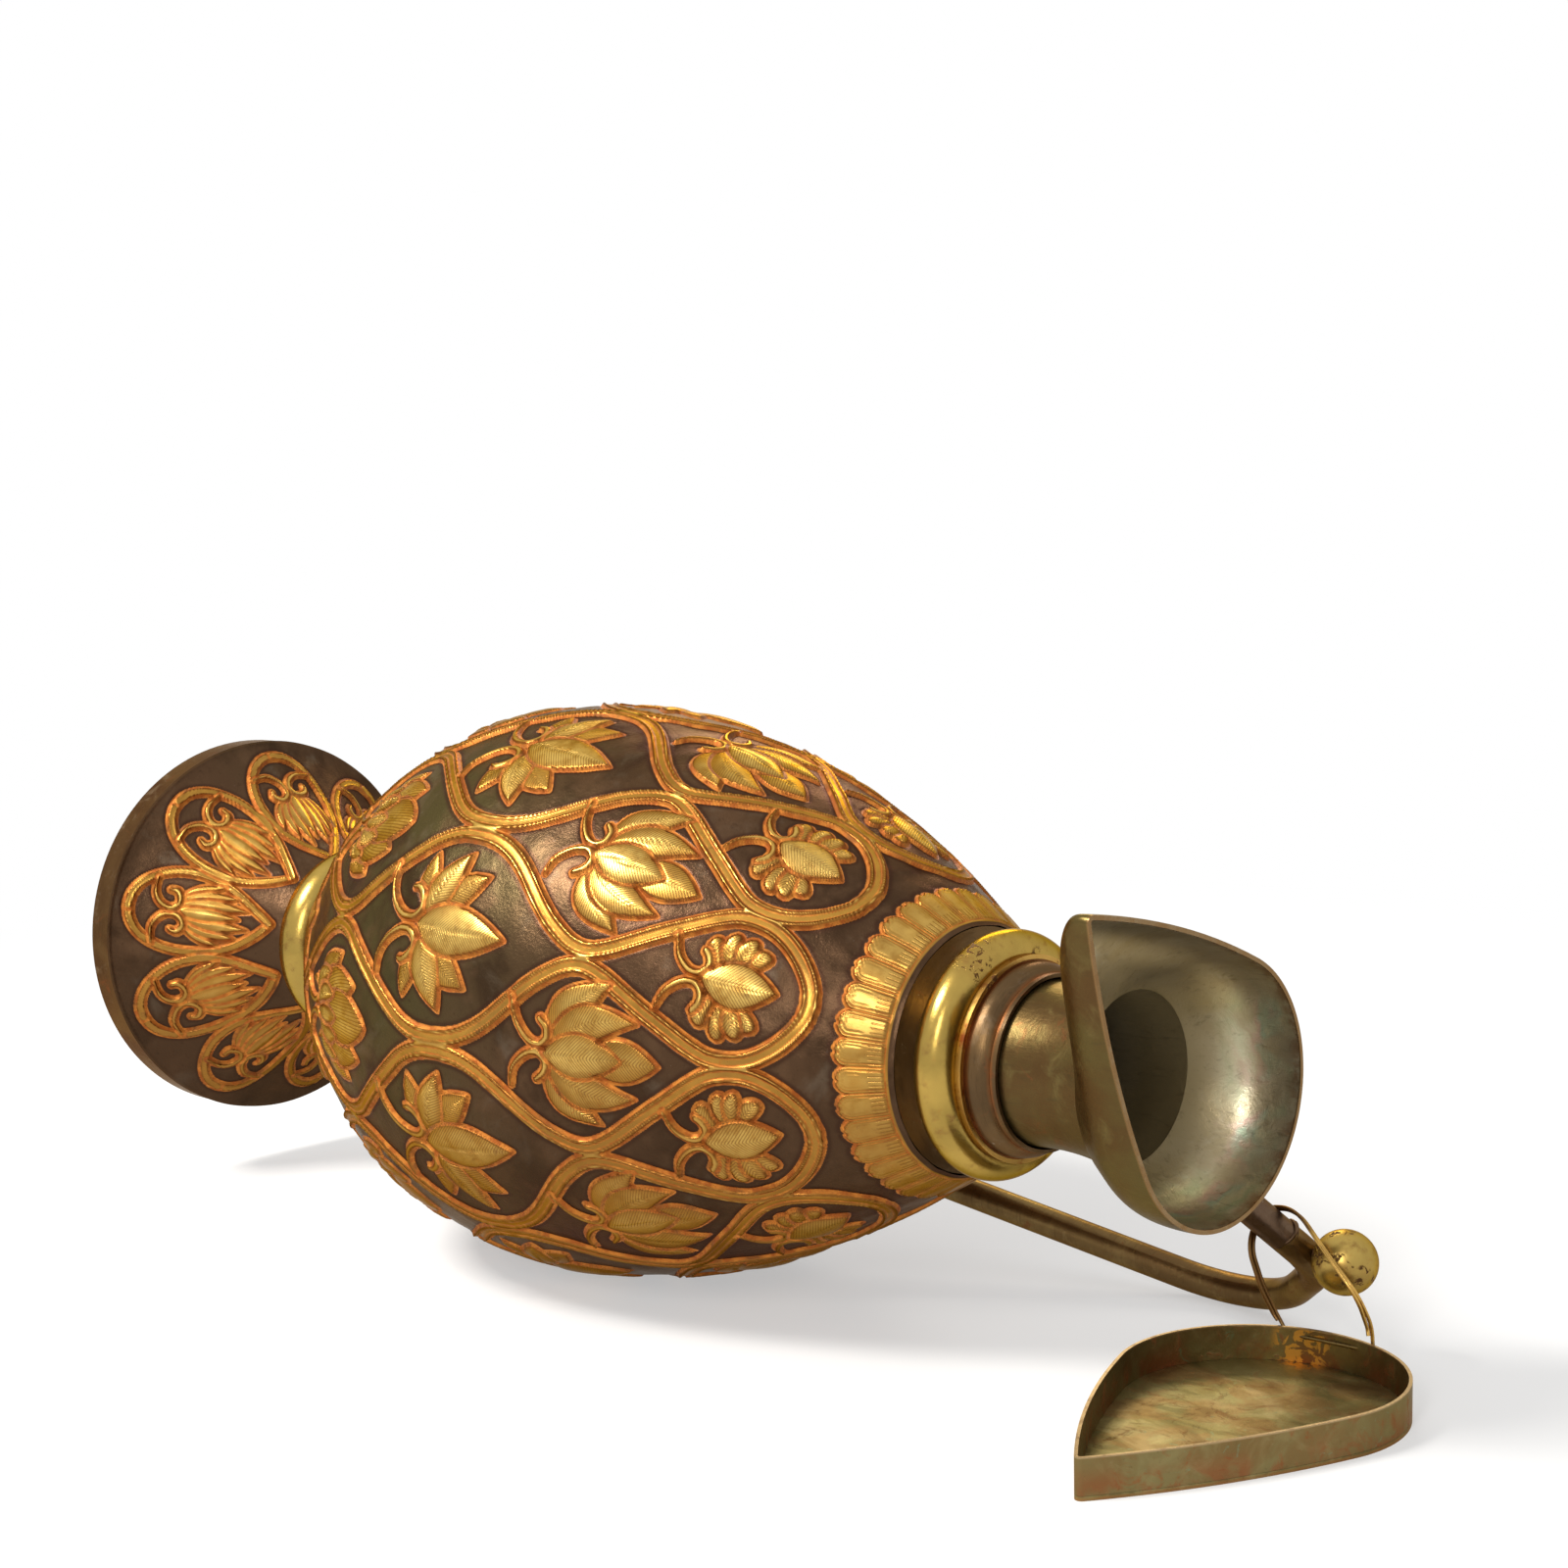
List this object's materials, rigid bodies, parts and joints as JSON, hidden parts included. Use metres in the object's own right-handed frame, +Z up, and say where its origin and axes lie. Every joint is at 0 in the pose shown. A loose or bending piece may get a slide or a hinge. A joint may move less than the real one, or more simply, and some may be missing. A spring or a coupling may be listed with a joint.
{
  "type": "ewer",
  "caption": "Footed metal ewer on its side: egg-shaped body, narrow neck, teardrop mouth, bar handle with a ball, and a drop-shaped lid on a wire link.",
  "frame": {"origin": "centre of the bounding box, on the table that the ewer and its lid lie on", "axes": "+X along the ewer's axis from foot to mouth, +Y towards the handle's side, +Z up from the table"},
  "size_m": [0.3587, 0.136, 0.134],
  "materials": {
    "chased_body": "chased and parcel-gilt silver with a dark patina in the hollows",
    "foot_silver": "chased and parcel-gilt silver, rubbed on the raised parts",
    "gilding": "worn fire gilding, polished",
    "handle_gilding": "worn gilding over browned silver",
    "dark_silver": "purple-brown tarnished silver",
    "mouth_silver": "tarnished silver, olive and faintly iridescent inside",
    "lid_silver": "tarnished silver with flecks of gilding",
    "wire": "gilt wire"
  },
  "bodies": {
    "ewer": {"foot_dome": "foot_silver", "foot_band": "foot_silver", "foot_ring": "gilding", "body_shell": "chased_body", "neck_base": "dark_silver", "neck_ring": "gilding", "neck_fillet": "gilding", "neck_tube": "dark_silver", "mouth_bowl": "mouth_silver", "handle_arm": "dark_silver", "handle_bar": "handle_gilding", "thumb_ball": "gilding"},
    "link": {"link_first_turn": "wire", "link_second_turn": "wire"},
    "lid": {"lid_plate": "lid_silver", "lid_wall": "lid_silver"}
  },
  "joints": [
    {"name": "link_swing", "type": "hinge", "parent": "ewer", "child": "link", "pos_m": [0.13465, 0.03803, 0.02915], "axis": [0.3223, 0.6794, -0.6592], "range_deg": [-55, 30]},
    {"name": "lid_swing", "type": "hinge", "parent": "link", "child": "lid", "pos_m": [0.14778, 0.03981, 0.0065], "axis": [-0.9961, -0.088, 0], "range_deg": [-100, 4]}
  ]
}
